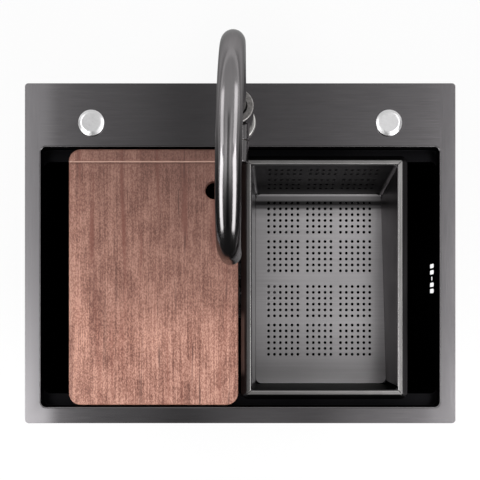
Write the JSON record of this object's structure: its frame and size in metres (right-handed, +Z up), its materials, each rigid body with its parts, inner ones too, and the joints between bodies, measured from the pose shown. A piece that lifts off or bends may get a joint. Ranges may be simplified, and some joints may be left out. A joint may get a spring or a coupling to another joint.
{
  "type": "workstation kitchen sink",
  "caption": "Topmount workstation sink: dark steel bowl with accessory ledges, single-lever swivel tap, lift-off cutting board, sliding draining basket, hole caps, basket strainer and overflow.",
  "frame": {"origin": "on the worktop surface, on the deck plate's underside at the middle of the front rim", "axes": "+X right, +Y from the user towards the wall, +Z up"},
  "size_m": [0.57, 0.4499, 0.7749],
  "materials": {
    "deck_steel": "dark satin, brushed",
    "bowl_steel": "near-black satin",
    "basket_steel": "dark satin",
    "tap_metal": "dark polished",
    "bright_chrome": "satin",
    "plain_steel": "plain",
    "brass": "plain",
    "walnut": "oiled",
    "rubber": "matt",
    "white_plastic": "moulded",
    "black_plastic": "moulded"
  },
  "bodies": {
    "sink": {"top_plate": "deck_steel", "bowl_shell": "bowl_steel", "tap_flange": "tap_metal", "tap_body": "tap_metal", "hole_cap_left": "bright_chrome", "hole_cap_right": "bright_chrome", "clip_left_front": "plain_steel", "clip_left_back": "plain_steel", "clip_right_front": "plain_steel", "clip_right_back": "plain_steel", "clip_screw_left_front": "plain_steel", "clip_screw_left_back": "plain_steel", "clip_screw_right_front": "plain_steel", "clip_screw_right_back": "plain_steel", "strainer_body": "plain_steel", "overflow_nut_front": "plain_steel", "overflow_nut_back": "plain_steel", "tap_washer": "plain_steel", "inlet_tail_hot": "plain_steel", "inlet_tail_cold": "plain_steel", "tap_shank": "brass", "tap_nut": "brass", "cartridge_nut": "brass", "sound_pad_front": "rubber", "sound_pad_back": "rubber", "sound_pad_left": "rubber", "hole_cap_gasket_left": "rubber", "hole_cap_gasket_right": "rubber", "strainer_gasket": "rubber", "overflow_gasket": "rubber", "tap_gasket": "rubber", "tap_seal": "rubber", "tailpiece": "white_plastic", "tailpiece_nut": "white_plastic", "overflow_housing": "white_plastic", "overflow_pipe": "white_plastic", "hole_cap_nut_left": "black_plastic", "hole_cap_nut_right": "black_plastic", "strainer_nut": "black_plastic", "spout_bush": "black_plastic", "valve_cartridge": "black_plastic"},
    "spout": {"spout_collar": "tap_metal", "spout": "tap_metal", "aerator_housing": "tap_metal", "aerator_insert": "black_plastic"},
    "valve_turner": {"cartridge_carrier": "white_plastic"},
    "handle": {"valve_stem": "plain_steel", "handle_cap": "tap_metal", "handle_lever": "tap_metal", "grub_screw": "plain_steel"},
    "board": {"cutting_board": "walnut"},
    "basket": {"basket_rim": "basket_steel", "basket_tub": "basket_steel", "basket_floor": "basket_steel"},
    "strainer": {"strainer_basket": "plain_steel", "strainer_knob": "black_plastic"}
  },
  "joints": [
    {"name": "spout_swivel", "type": "hinge", "parent": "sink", "child": "spout", "pos_m": [-0.003, 0.38645, 0.0868], "axis": [0, 0, 1], "continuous": true},
    {"name": "handle_turn", "type": "hinge", "parent": "sink", "child": "valve_turner", "pos_m": [-0.003, 0.38645, 0.061], "axis": [-0.0244, -0.9997, 0], "range_deg": [-45, 45]},
    {"name": "handle_tilt", "type": "hinge", "parent": "valve_turner", "child": "handle", "pos_m": [-0.00383, 0.35246, 0.061], "axis": [0.9997, -0.0244, 0], "range_deg": [0, 20]},
    {"name": "board_lift", "type": "slide", "parent": "sink", "child": "board", "axis": [0, 0, 1], "range_m": [0, 0.03]},
    {"name": "basket_slide", "type": "slide", "parent": "sink", "child": "basket", "axis": [1, 0, 0], "range_m": [0, 0.037]},
    {"name": "strainer_lift", "type": "slide", "parent": "sink", "child": "strainer", "axis": [0, 0, 1], "range_m": [0, 0.075]}
  ]
}
